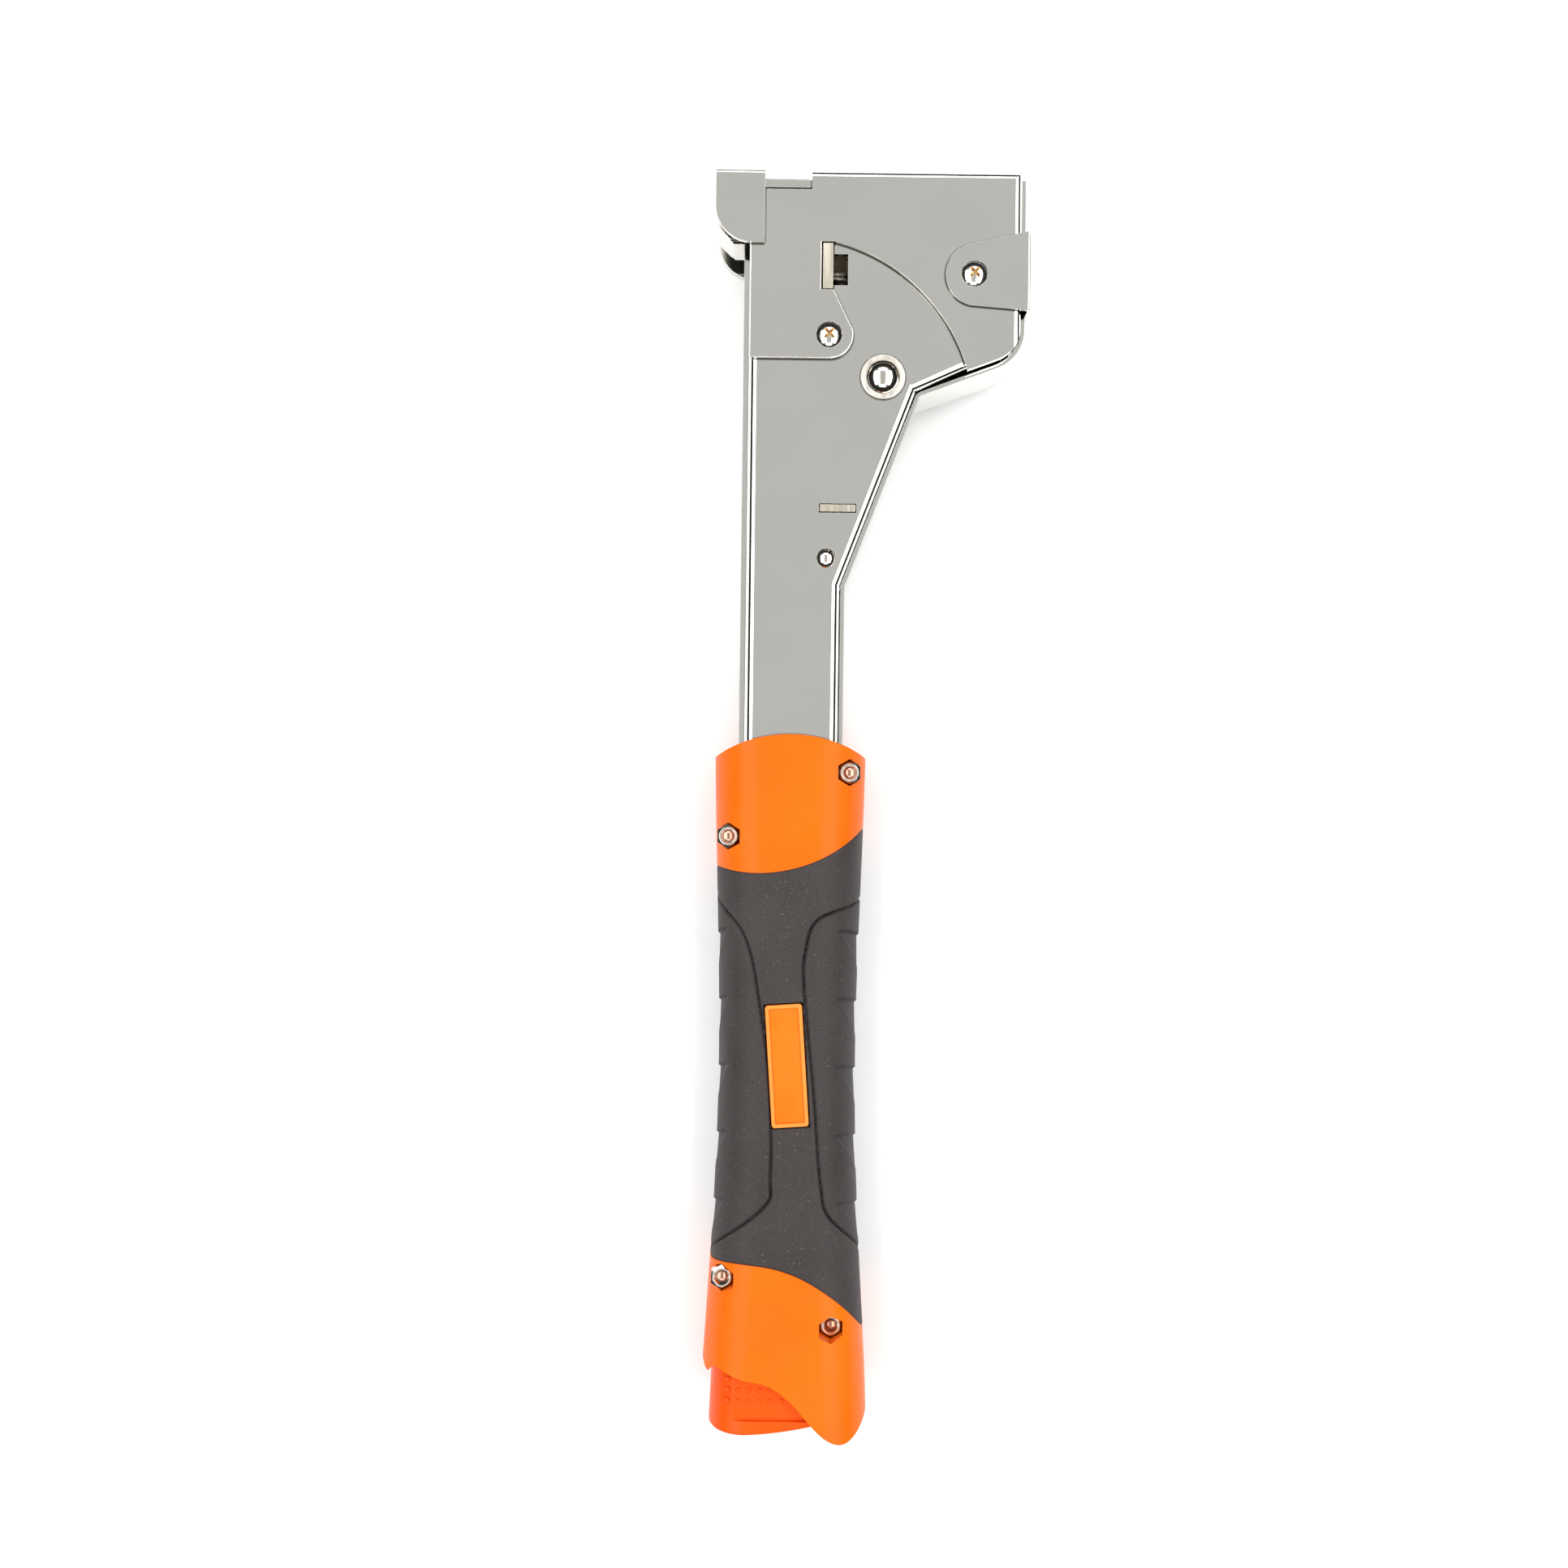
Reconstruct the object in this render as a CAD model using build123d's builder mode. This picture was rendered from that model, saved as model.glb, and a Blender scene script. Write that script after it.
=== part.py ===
from build123d import *
import os

# Hammer tacker lying on its side.  +Y runs along the tool from the butt to the front of the head,
# -X is the striking side, +Z is up through the thickness.  All lengths are in millimetres.

# ---------------------------------------------------------------- whole tool
FRONT_Y = 162.5             # front face of the head
BUTT_Y = -156.4             # tip of the butt
MID = 14.5                  # height of the tool's middle plane above the rest surface
AXIS_X = -19.05             # centre line of bar and grip
SIDE_X = (-39.76, 39.6)     # outermost points across the tool
TO_CENTRE = (-(SIDE_X[0] + SIDE_X[1]) / 2, -(FRONT_Y + BUTT_Y) / 2)

# ---------------------------------------------------------------- frame plates (bar and fan)
BAR_LEFT = -30.8
BAR_RIGHT = -7.3
BAR_TAIL_Y = -20.0
BAR_KNEE_Y = 58.6           # where the narrow bar starts to widen
FRAME_HALF = 11.0           # outer half thickness of the frame
FRAME_SHEET = 1.4
FRAME_BEND = 2.2
FLANGE_DEPTH = 4.0
HEAD_CORNER = (11.4, 107.8)     # concave corner between bar and head
HEAD_RIGHT = 37.4
HEAD_REAR_Y = 117.6         # height at which the head's underside would meet its back
HEAD_REAR_R = 9.0
FRAME_FRONT_Y = 160.2
PLATE_INSET = 1.6           # step of the frame plate behind the head covers

# ---------------------------------------------------------------- head covers
COVER_SHEET = 1.3
COVER_BEND = 1.8
COVER_HALF = FRAME_HALF + COVER_SHEET
COVER_SKIRT = 3.0           # depth of the covers' turned-down front and rear edges
COVER_FOOT_Y = 115.2
NOTCH_RIGHT = -15.4
NOTCH_Y = 157.4
NOTCH_GAP = 0.9             # open slit in the frame plate along the foot of the notch
FRONT_PLATE_LEFT = -6.6     # clear of the nose's tongue when the magazine is pushed in
SLOT_LEFT = -12.7
SLOT_RIGHT = -9.6
SLOT_LOW = 132.4
SLOT_HIGH = 144.4
RECESS_RIGHT = -6.2
RECESS_LENGTH = 7.8
RECESS_DROP = 0.6           # the recess sits this much nearer the grip than the slot

# ---------------------------------------------------------------- spine strip and back clip
SPINE_GAP = 0.3
SPINE_SHEET = 1.0
SPINE_HALF = 9.0
SPINE_TAIL_Y = 16.0
CLIP_SHEET = 0.8
CLIP_LOW = 127.4
CLIP_HIGH = 147.4

# ---------------------------------------------------------------- fasteners
SCREW_FRONT = (-10.7, 121.1)
SCREW_BACK = (25.4, 136.5)
SCREW_R = 1.9
SCREW_HEAD_R = 3.3
SCREW_HEAD_H = 1.4
SCREW_TAIL = 0.4             # screw end left showing inside its nut
HOLE_CLEARANCE = 0.1
MAIN_RIVET = (2.95, 110.9)
MAIN_RIVET_R = 2.5
MAIN_RIVET_HEAD_R = 4.3
MAIN_RIVET_HEAD_H = 2.4
WASHER_R = 5.6
WASHER_H = 0.8
SMALL_RIVET = (-10.8, 65.3)
SMALL_RIVET_R = 1.5
SMALL_RIVET_HEAD_R = 2.45
SMALL_RIVET_HEAD_H = 1.3
ANCHOR_CENTRE = (-8.05, 77.9)
ANCHOR_SIZE = (9.0, 1.8)
ANCHOR_CLEARANCE = 0.5

# ---------------------------------------------------------------- swinging magazine
PIVOT = (-12.5, 10.0)
PIVOT_R = 2.0
PIVOT_CLEARANCE = 0.05
MAG_TAIL_Y = -2.0
MAG_MOUTH_Y = 157.8         # rear wall of the staple throat
MAG_FRONT_Y = 160.7         # channel cheeks reach the nose guard here
MAG_FLOOR_X = -32.3
MAG_TOP_X = -19.5
MAG_HALF = 6.5
MAG_SHEET = 1.0
NOSE_X = -39.4
NOSE_RIGHT = -27.1
NOSE_BACK_Y = 143.6
NOSE_SHEET = 1.2
NOSE_GAP = 0.3
NOSE_HALF = COVER_HALF + NOSE_GAP + NOSE_SHEET
NOSE_TONGUE_X = -16.0       # the guard's front wall runs on, narrower, into the head
NOSE_TONGUE_HALF = 7.6
CHEEK_BACK_Y = 147.0
RAIL_HALF = 4.25
RAIL_TOP_X = -20.9
RAIL_SLOT_Y = 4.0           # rear end of the slot that the follower's web slides in
RAIL_SLOT_HALF = 1.3
STAPLE_WIRE = 0.9
STAPLE_WIDTH = 1.25
STAPLE_PITCH = 1.3
STAPLE_COUNT = 38
STAPLE_HALF = 5.3
STAPLE_CROWN_X = -19.9
STAPLE_LEG = 10.5
STAPLE_FIRST_Y = 157.0

# ---------------------------------------------------------------- pusher
ROD_X = -25.5
ROD_R = 1.5
ROD_FRONT_Y = 57.0
ROD_BACK_Y = -136.0
FOLLOWER_BACK_Y = 100.0
FOLLOWER_FRONT_Y = 108.2
PUSHER_R = 2.2
PUSHER_WIRE = 0.35          # wire radius
PUSHER_TURNS = 14
CROSS_PIN_Y = -131.0
CROSS_PIN_R = 0.8
CROSS_PIN_HALF = 9.0
PULL_FRONT_Y = -126.4
PULL_RIGHT = -11.9
PULL_INSET = 2.4
PULL_CLEARANCE = 0.35
PULL_SCOOP_Y = (-151.3, -136.0)     # recessed thumb panel on each face of the pull
PULL_SCOOP_HALF = 11.3

# ---------------------------------------------------------------- grip
GRIP_HALF = 14.5
GRIP_ROUND = 12.5
GRIP_STATIONS = [(40, 19.3), (10, 19.2), (-60, 17.5), (-110, 19.0), (-140, 20.8), (-185, 21.6)]
CROWN = ((AXIS_X, -13.8), 34.7)             # front edge of the grip: centre and radius
FRONT_SWEEP = ((-27.4, 24.2), 38.0)         # front ferrule's lower edge
REAR_SWEEP = ((-29.75, -146.3), 34.8)       # rear ferrule's upper edge
RUBBER = 1.6
GRIP_BOLTS = [(-4.2, 11.5), (-34.5, -4.8), (-34.8, -115.8), (-7.3, -127.6)]
GRIP_PIN = (AXIS_X, -12.0)      # cross pin that locks the bar into the grip
GRIP_PIN_R = 2.0
GRIP_PIN_HALF = 12.4
GRIP_SCREW_R = 1.5
TAIL_ROOM = 0.7             # room for the channel's tail, which swings out behind the hinge
TAIL_ROOM_Y = (-2.6, 4.0)
SPRING_ROOM_X = (-31.0, -22.6)      # room for the pusher spring when it is drawn right back
SPRING_ROOM_Y = (-34.0, -20.0)
SPRING_ROOM_HALF = 2.9
GRIP_NUT_FLATS = 5.5
GRIP_NUT_LOW = 8.4
GRIP_NUT_H = 2.3
NUT_FACE_R = 2.3            # round face left on top of a nut by its corner chamfer
NUT_CHAMFER_SLOPE = 1.64
NUT_SINK = 0.45
GRIP_SCREW_REACH = 1.7      # screw end above the foot of its nut
GRIP_SCREW_DOME = 0.5
BADGE_CENTRE = (-19.1, -61.7)
BADGE_SIZE = (9.2, 30.5)
BADGE_TURN = 4.0
BADGE_DEPTH = 1.2

os.makedirs("parts", exist_ok=True)


def save(piece, name):
    """Move a finished piece from the drawing's datum to the footprint's centre and write it."""
    placed = piece.part.moved(Location((TO_CENTRE[0], TO_CENTRE[1], 0)))
    placed.label = name
    export_step(placed, f"parts/{name}.step")


def level(height):
    """Horizontal plane at a height measured from the tool's middle plane."""
    return Plane.XY.offset(MID + height)


def block(x, y, z, mode=Mode.ADD):
    """Box between (low, high) ranges in the part being built; z is measured from the middle plane."""
    with Locations(((x[0] + x[1]) / 2, (y[0] + y[1]) / 2, MID + (z[0] + z[1]) / 2)):
        Box(x[1] - x[0], y[1] - y[0], z[1] - z[0], mode=mode)


def post(place, radius, low, high, mode=Mode.ADD):
    """Upright round bar at a plan position between two heights from the middle plane."""
    with Locations((place[0], place[1], MID + (low + high) / 2)):
        Cylinder(radius, high - low, mode=mode)


def lower_twin(piece, name):
    """The same piece mirrored to the underside of the tool."""
    with BuildPart() as twin:
        add(mirror(piece.part, about=Plane.XY.offset(MID)))
    save(twin, name)
    return twin


# ================================================================ frame

# Pan edge of the tool: bar, slanted shoulder, underside of the head, rounded rear corner
REAR_EDGE = [
    (BAR_RIGHT, BAR_TAIL_Y),
    (BAR_RIGHT, BAR_KNEE_Y),
    HEAD_CORNER,
    (HEAD_RIGHT, HEAD_REAR_Y),
    (HEAD_RIGHT, FRONT_Y - 1.0),
]


def shifted(points, distance):
    """Polyline moved sideways by a distance, to the right of its direction, with mitred corners."""
    moved = []
    for i, point in enumerate(points):
        before = Vector(*points[max(i - 1, 0)])
        here = Vector(*point)
        after = Vector(*points[min(i + 1, len(points) - 1)])
        normals = []
        for start, end in ((before, here), (here, after)):
            if (end - start).length > 0:
                run = (end - start).normalized()
                normals.append(Vector(run.Y, -run.X))
        mitre = (normals[0] + normals[-1]).normalized()
        reach = distance / mitre.dot(normals[0])
        moved.append((here.X + mitre.X * reach, here.Y + mitre.Y * reach))
    return moved


def frame_outline(inset):
    """Plan of a frame plate, drawn inside the pan edge by an inset where the head covers it."""
    edge = REAR_EDGE[:3] + shifted(REAR_EDGE, -inset)[3:4]
    with BuildSketch() as outline:
        with BuildLine():
            Polyline(
                (BAR_LEFT, FRAME_FRONT_Y),
                (BAR_LEFT, BAR_TAIL_Y),
                *edge,
                (HEAD_RIGHT - inset, FRAME_FRONT_Y),
                close=True,
            )
        make_face()
        rear, front = outline.vertices().group_by(Axis.X)[-1].sort_by(Axis.Y)
        fillet(rear, HEAD_REAR_R - inset)
        fillet(front, 1.0)
    return outline.sketch


with BuildPart() as frame_plate_upper:
    with BuildSketch(level(FRAME_HALF - FLANGE_DEPTH)):
        add(frame_outline(PLATE_INSET))
    extrude(amount=FLANGE_DEPTH)
    rim = frame_plate_upper.faces().sort_by(Axis.Z)[-1].edges()
    fillet(rim.filter_by(lambda e: e.center().Y < FRAME_FRONT_Y - 1), FRAME_BEND)
    with BuildSketch(level(FRAME_HALF - FLANGE_DEPTH)):
        add(frame_outline(PLATE_INSET))
        offset(amount=-FRAME_SHEET, kind=Kind.INTERSECTION, mode=Mode.REPLACE)
    extrude(amount=FLANGE_DEPTH - FRAME_SHEET, mode=Mode.SUBTRACT)
    with BuildSketch(level(FRAME_HALF)):
        with Locations(((SLOT_LEFT + SLOT_RIGHT) / 2, (SLOT_LOW + SLOT_HIGH) / 2)):
            Rectangle(SLOT_RIGHT - SLOT_LEFT, SLOT_HIGH - SLOT_LOW)
        with Locations(((SLOT_RIGHT + RECESS_RIGHT) / 2, (SLOT_LOW + SLOT_HIGH) / 2 - RECESS_DROP)):
            Rectangle(RECESS_RIGHT - SLOT_RIGHT + 0.2, RECESS_LENGTH)
        with Locations(ANCHOR_CENTRE):
            Rectangle(ANCHOR_SIZE[0] + ANCHOR_CLEARANCE, ANCHOR_SIZE[1] + ANCHOR_CLEARANCE)
        with Locations(SCREW_FRONT, SCREW_BACK):
            Circle(SCREW_R + HOLE_CLEARANCE)
        with Locations(MAIN_RIVET):
            Circle(MAIN_RIVET_R)
        with Locations(SMALL_RIVET):
            Circle(SMALL_RIVET_R)
        with Locations(PIVOT):
            Circle(PIVOT_R)
        with Locations(GRIP_PIN):
            Circle(GRIP_PIN_R)
        with Locations(((BAR_LEFT + 3.5 + NOTCH_RIGHT) / 2, NOTCH_Y + NOTCH_GAP / 2)):
            Rectangle(NOTCH_RIGHT - BAR_LEFT - 3.5, NOTCH_GAP)
    extrude(amount=-FRAME_SHEET - 0.5, mode=Mode.SUBTRACT)
save(frame_plate_upper, "frame_plate_upper")
lower_twin(frame_plate_upper, "frame_plate_lower")

with BuildPart() as spine:
    stand_off = SPINE_GAP + SPINE_SHEET / 2
    centre_line = shifted([(BAR_RIGHT, SPINE_TAIL_Y)] + REAR_EDGE[1:], stand_off)
    with BuildSketch(level(-SPINE_HALF)):
        with BuildLine():
            FilletPolyline(*centre_line, radius=[3.0, 2.0, HEAD_REAR_R + stand_off])
        trace(line_width=SPINE_SHEET)
    extrude(amount=2 * SPINE_HALF)
save(spine, "spine_strip")


# ================================================================ head covers

with BuildSketch() as cover_region:
    with BuildLine():
        Line((BAR_LEFT, NOTCH_Y), (BAR_LEFT, COVER_FOOT_Y))
        Line((BAR_LEFT, COVER_FOOT_Y), (SCREW_FRONT[0], COVER_FOOT_Y))
        around = ThreePointArc(
            (SCREW_FRONT[0], COVER_FOOT_Y),
            (SCREW_FRONT[0] + 4.4, COVER_FOOT_Y + 1.8),
            (SCREW_FRONT[0] + 5.9, COVER_FOOT_Y + 7.4),
        )
        Line(around @ 1, (SLOT_RIGHT, SLOT_LOW))
        Line((SLOT_RIGHT, SLOT_LOW), (SLOT_RIGHT, SLOT_HIGH))
        sweep_edge = ThreePointArc((SLOT_RIGHT, SLOT_HIGH), (7.85, 136.1), (24.0, 112.57))
        FilletPolyline(
            sweep_edge @ 1,
            (HEAD_RIGHT, HEAD_REAR_Y),
            (HEAD_RIGHT, FRONT_Y),
            radius=HEAD_REAR_R,
        )
        Line((HEAD_RIGHT, FRONT_Y), (NOTCH_RIGHT, FRONT_Y))
        Line((NOTCH_RIGHT, FRONT_Y), (NOTCH_RIGHT, NOTCH_Y))
        Line((NOTCH_RIGHT, NOTCH_Y), (BAR_LEFT, NOTCH_Y))
    make_face()

with BuildPart() as head_cover_upper:
    with BuildSketch(level(FRAME_HALF - COVER_SKIRT)):
        with BuildLine():
            Polyline((-60, 80), (HEAD_RIGHT, 80), (HEAD_RIGHT, FRONT_Y), (-60, FRONT_Y), close=True)
        make_face()
    extrude(amount=COVER_SHEET + COVER_SKIRT)
    rim = head_cover_upper.faces().sort_by(Axis.Z)[-1].edges()
    front_and_back = rim.sort_by(Axis.Y)[-1:] + rim.sort_by(Axis.X)[-1:]
    fillet(front_and_back, COVER_BEND)
    with BuildSketch(level(FRAME_HALF - COVER_SKIRT)):
        with BuildLine():
            Polyline(
                (-61, 79),
                (HEAD_RIGHT - COVER_SHEET, 79),
                (HEAD_RIGHT - COVER_SHEET, FRONT_Y - COVER_SHEET),
                (-61, FRONT_Y - COVER_SHEET),
                close=True,
            )
        make_face()
    extrude(amount=COVER_SKIRT, mode=Mode.SUBTRACT)
    with BuildSketch(level(FRAME_HALF - COVER_SKIRT - 1.0)):
        add(cover_region.sketch)
    extrude(amount=8.0, mode=Mode.INTERSECT)
    with BuildSketch(level(COVER_HALF)):
        with Locations(((SLOT_LEFT + SLOT_RIGHT) / 2, (SLOT_LOW + SLOT_HIGH) / 2)):
            Rectangle(SLOT_RIGHT - SLOT_LEFT + 0.1, SLOT_HIGH - SLOT_LOW)
        with Locations(SCREW_FRONT, SCREW_BACK):
            Circle(SCREW_R + HOLE_CLEARANCE)
    extrude(amount=-COVER_SHEET, mode=Mode.SUBTRACT)
    top = head_cover_upper.faces().sort_by(Axis.Z)[-1]
    pressed = top.edges().filter_by(lambda e: e.center().Y < SLOT_HIGH and e.center().X < 24 and e.length > 9)
    fillet(pressed.filter_by(GeomType.LINE), 0.3)
save(head_cover_upper, "head_cover_upper")
lower_twin(head_cover_upper, "head_cover_lower")

with BuildPart() as front_plate:
    block((FRONT_PLATE_LEFT, HEAD_RIGHT - 2.0), (160.35, 161.1), (-10.6, 10.6))
save(front_plate, "front_plate")

with BuildPart() as back_clip:
    with BuildSketch(level(FRAME_HALF)):
        with BuildLine():
            web_right = HEAD_RIGHT + SPINE_GAP + SPINE_SHEET + 0.1 + CLIP_SHEET
            upper = Line((web_right, CLIP_HIGH), (24.5, 144.1))
            back = ThreePointArc((24.5, 144.1), (18.2, 136.4), (24.5, 128.6))
            lower = Line((24.5, 128.6), (web_right, CLIP_LOW))
            Line((web_right, CLIP_LOW), (web_right, CLIP_HIGH))
        make_face()
    extrude(amount=COVER_SHEET + CLIP_SHEET)
    extrude(back_clip.faces().sort_by(Axis.Z)[0], amount=2 * FRAME_HALF + COVER_SHEET + CLIP_SHEET)
    outer = back_clip.edges().filter_by(Axis.Y).filter_by(lambda e: e.center().X > HEAD_RIGHT)
    fillet(outer, 0.75)
    block(
        (0, web_right - CLIP_SHEET),
        (CLIP_LOW - 5, CLIP_HIGH + 5),
        (-COVER_HALF, COVER_HALF),
        mode=Mode.SUBTRACT,
    )
    post(SCREW_BACK, SCREW_R + HOLE_CLEARANCE, -MID, MID, mode=Mode.SUBTRACT)
save(back_clip, "back_clip")


# ================================================================ head fasteners

def cross_recess(place, top, depth):
    """Cut a tapering cross-shaped driver recess into the part being built."""
    with BuildSketch(level(top)) as cross:
        with Locations(place):
            Rectangle(3.2, 0.8, rotation=45)
            Rectangle(3.2, 0.8, rotation=-45)
    extrude(cross.sketch, amount=-depth, taper=12, mode=Mode.SUBTRACT)


def dome(place, radius, base, height):
    """Add a spherical cap to the part being built; a negative height points it downwards."""
    with BuildSketch(Plane((place[0], place[1], MID + base), x_dir=(1, 0, 0), z_dir=(0, -1, 0))) as half:
        with BuildLine():
            crown = TangentArc((0, height), (radius, 0), tangent=(1, 0))
            Polyline(crown @ 1, (0, 0), crown @ 0)
        make_face()
    revolve(half.sketch, axis=Axis((place[0], place[1], MID), (0, 0, 1)))


HEAD_BOLTS = ((SCREW_FRONT, COVER_HALF), (SCREW_BACK, COVER_HALF + CLIP_SHEET))

with BuildPart() as head_screws:
    for place, seat in HEAD_BOLTS:
        post(place, SCREW_R, -seat - SCREW_TAIL, seat)
        dome(place, SCREW_HEAD_R, seat, SCREW_HEAD_H)
        cross_recess(place, seat + SCREW_HEAD_H, 1.0)
save(head_screws, "head_screws")

with BuildPart() as head_nuts:
    for place, seat in HEAD_BOLTS:
        dome(place, SCREW_HEAD_R, -seat, -SCREW_HEAD_H)
        post(place, SCREW_R, -seat - SCREW_TAIL, -seat, mode=Mode.SUBTRACT)
save(head_nuts, "head_nuts")

with BuildPart() as main_rivet:
    post(MAIN_RIVET, MAIN_RIVET_R, -FRAME_HALF - WASHER_H, FRAME_HALF + WASHER_H)
    for side in (-1, 1):
        dome(MAIN_RIVET, MAIN_RIVET_HEAD_R, side * (FRAME_HALF + WASHER_H), side * MAIN_RIVET_HEAD_H)
save(main_rivet, "main_rivet")

with BuildPart() as rivet_washers:
    for low in (-FRAME_HALF - WASHER_H, FRAME_HALF):
        post(MAIN_RIVET, WASHER_R, low, low + WASHER_H)
    fillet(rivet_washers.edges().group_by(Axis.Z)[-1], 0.3)
    post(MAIN_RIVET, MAIN_RIVET_R, -MID, MID, mode=Mode.SUBTRACT)
save(rivet_washers, "rivet_washers")

with BuildPart() as small_rivet:
    post(SMALL_RIVET, SMALL_RIVET_R, -FRAME_HALF, FRAME_HALF)
    for side in (-1, 1):
        dome(SMALL_RIVET, SMALL_RIVET_HEAD_R, side * FRAME_HALF, side * SMALL_RIVET_HEAD_H)
save(small_rivet, "small_rivet")

with BuildPart() as anchor_plate:
    with Locations((ANCHOR_CENTRE[0], ANCHOR_CENTRE[1], MID)):
        Box(ANCHOR_SIZE[0], ANCHOR_SIZE[1], 2 * FRAME_HALF + 0.3)
save(anchor_plate, "anchor_plate")


# ================================================================ driver and return spring

BRACKET_LEFT = -12.4
BRACKET_RIGHT = 14.0
BRACKET_HALF = 9.4
ARM_IN = 7.0
BLADE_Y = (159.1, 160.2)

with BuildPart() as driver_bracket:
    for side in (-1, 1):
        arm = sorted((side * ARM_IN, side * BRACKET_HALF))
        lug = sorted((side * BRACKET_HALF, side * (COVER_HALF - 0.2)))
        block((BRACKET_LEFT, BRACKET_RIGHT), (SLOT_LOW + 0.3, 158.5), arm)
        block((BRACKET_LEFT, SLOT_RIGHT - 0.3), (SLOT_LOW + 0.3, SLOT_HIGH - 0.3), lug)
    block((-6.0, BRACKET_RIGHT), (147.0, BLADE_Y[0]), (-ARM_IN, ARM_IN))
    window_x = (SLOT_RIGHT - 0.3, RECESS_RIGHT + 0.9)
    block(window_x, (SLOT_LOW - 1.0, SLOT_HIGH - 1.0), (-COVER_HALF, COVER_HALF), mode=Mode.SUBTRACT)
save(driver_bracket, "driver_bracket")

with BuildPart() as driver_blade:
    block((-19.2, BRACKET_RIGHT - 1.0), BLADE_Y, (-5.2, 5.2))
    tip = driver_blade.edges().filter_by(Axis.Z).sort_by(Axis.X)[:2]
    chamfer(tip, 0.2)
save(driver_blade, "driver_blade")

SPRING_Y = 134.0
SPRING_LOW_X = -18.0
SEAT_X = 20.8
SPRING_WIRE = 0.55          # wire radius
SPRING_R = 4.5
SPRING_TURNS = 8

with BuildPart() as return_spring:
    length = SEAT_X - SPRING_LOW_X - 2 * SPRING_WIRE
    foot = (SPRING_LOW_X + SPRING_WIRE, SPRING_Y, MID)
    with BuildLine() as coil:
        Helix(length / SPRING_TURNS, length, SPRING_R, center=foot, direction=(1, 0, 0))
    with BuildSketch(Plane(origin=coil.line @ 0, z_dir=coil.line % 0)):
        Circle(SPRING_WIRE)
    sweep(path=coil.line, is_frenet=True)
save(return_spring, "return_spring")

with BuildPart() as spring_seat:
    block((SEAT_X, SEAT_X + 1.5), (127.0, 141.0), (-9.5, 9.5))
    with BuildSketch(Plane(origin=(SEAT_X, SPRING_Y, MID), x_dir=(0, 1, 0), z_dir=(-1, 0, 0))):
        Circle(3.0)
    extrude(amount=23.0)
    fillet(spring_seat.edges().filter_by(GeomType.CIRCLE).sort_by(Axis.X)[0], 0.8)
save(spring_seat, "spring_seat")

with BuildPart() as pivot_pin:
    post(PIVOT, PIVOT_R, -FRAME_HALF, FRAME_HALF)
save(pivot_pin, "pivot_pin")

with BuildPart() as grip_lock_pin:
    post(GRIP_PIN, GRIP_PIN_R, -GRIP_PIN_HALF, GRIP_PIN_HALF)
save(grip_lock_pin, "grip_lock_pin")


# ================================================================ magazine

with BuildPart() as magazine_channel:
    with BuildSketch(level(-MAG_HALF)):
        with BuildLine():
            Polyline(
                (MAG_FLOOR_X, MAG_TAIL_Y),
                (MAG_TOP_X, MAG_TAIL_Y),
                (MAG_TOP_X, MAG_FRONT_Y),
                (NOSE_X + 0.3, MAG_FRONT_Y),
                (NOSE_X + 0.3, CHEEK_BACK_Y + 3.0),
                (NOSE_X + 3.3, CHEEK_BACK_Y),
                (MAG_FLOOR_X, CHEEK_BACK_Y),
                close=True,
            )
        make_face()
        with BuildLine():
            ear = PIVOT_R + 1.4
            Line((MAG_TOP_X - 1, PIVOT[1] - 8), (PIVOT[0], PIVOT[1] - ear))
            ThreePointArc(
                (PIVOT[0], PIVOT[1] - ear),
                (PIVOT[0] + ear, PIVOT[1]),
                (PIVOT[0], PIVOT[1] + ear),
            )
            Line((PIVOT[0], PIVOT[1] + ear), (MAG_TOP_X - 1, PIVOT[1] + 8))
            Line((MAG_TOP_X - 1, PIVOT[1] + 8), (MAG_TOP_X - 1, PIVOT[1] - 8))
        make_face()
    extrude(amount=2 * MAG_HALF)
    inner_half = MAG_HALF - MAG_SHEET
    block(
        (MAG_FLOOR_X + MAG_SHEET, 0),
        (MAG_TAIL_Y - 1, MAG_FRONT_Y + 1),
        (-inner_half, inner_half),
        mode=Mode.SUBTRACT,
    )
    block(
        (NOSE_X - 1, 0),
        (CHEEK_BACK_Y - 1, MAG_FRONT_Y + 1),
        (-inner_half, inner_half),
        mode=Mode.SUBTRACT,
    )
    post(PIVOT, PIVOT_R + PIVOT_CLEARANCE, -MID, MID, mode=Mode.SUBTRACT)
save(magazine_channel, "magazine_channel")

with BuildPart() as nose_anvil:
    block(
        (NOSE_X + 0.3, MAG_FLOOR_X + MAG_SHEET),
        (CHEEK_BACK_Y - 1, MAG_MOUTH_Y),
        (-inner_half, inner_half),
    )
    heel = nose_anvil.edges().filter_by(Axis.Z).sort_by(lambda e: e.center().X + e.center().Y)[0]
    chamfer(heel, 4.0)
save(nose_anvil, "nose_anvil")

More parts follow.
